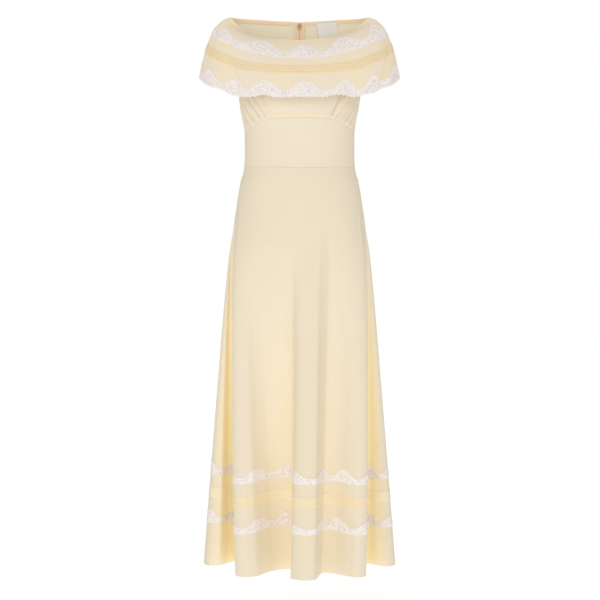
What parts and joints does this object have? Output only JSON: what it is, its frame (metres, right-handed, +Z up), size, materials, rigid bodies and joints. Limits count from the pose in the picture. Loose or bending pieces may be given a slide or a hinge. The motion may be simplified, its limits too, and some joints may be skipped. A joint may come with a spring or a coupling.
{
  "type": "sundress",
  "caption": "Ankle-length pale yellow sundress, worn shape, with a wide neck under a cape collar, gathered bodice and fluted skirt trimmed with lace and tucks.",
  "frame": {"origin": "middle of the neck opening, level with the two shoulder corners, where the wearer holds the dress up", "axes": "+Z up, -Y towards the front of the dress, +X to the right of a viewer who faces the front"},
  "size_m": [0.4449, 0.3082, 1.212],
  "materials": {
    "cloth": "pale butter yellow plain woven cotton, matt",
    "doubled_cloth": "the same cotton where it lies double in tucks and seam bands, so deeper in colour",
    "lace": "off-white cotton lace with a pinkish cast and a fine pattern of small holes",
    "tape": "peach-toned woven tape of the neck binding and the zip",
    "label": "off-white satin label, bare",
    "brass": "antique brass zip slider and pull tab"
  },
  "bodies": {
    "dress": {"collar_front": "cloth", "collar_back_left": "cloth", "collar_back_right": "cloth", "collar_lace_upper": "lace", "collar_tucks": "doubled_cloth", "collar_lace_lower": "lace", "bodice_front": "cloth", "bodice_back_left": "cloth", "bodice_back_right": "cloth", "underbust_band": "doubled_cloth", "midriff_front": "cloth", "midriff_back_left": "cloth", "midriff_back_right": "cloth", "waist_band": "doubled_cloth", "skirt_front": "cloth", "skirt_back_left": "cloth", "skirt_back_right": "cloth", "skirt_lace_upper": "lace", "skirt_lace_lower": "lace", "skirt_tucks": "doubled_cloth", "neck_binding_front": "tape", "neck_binding_back_left": "tape", "neck_binding_back_right": "tape", "zip_tape_left": "tape", "zip_tape_right": "tape", "zip_coil": "tape", "zip_slider": "brass", "zip_bridge": "brass", "label": "label"},
    "pull_tab": {"zip_pull_tab": "brass"}
  },
  "joints": [
    {"name": "pull_tab_swing", "type": "hinge", "parent": "dress", "child": "pull_tab", "pos_m": [0, 0.0712, 0.0019], "axis": [-1, 0, 0], "range_deg": [0, 200]}
  ]
}
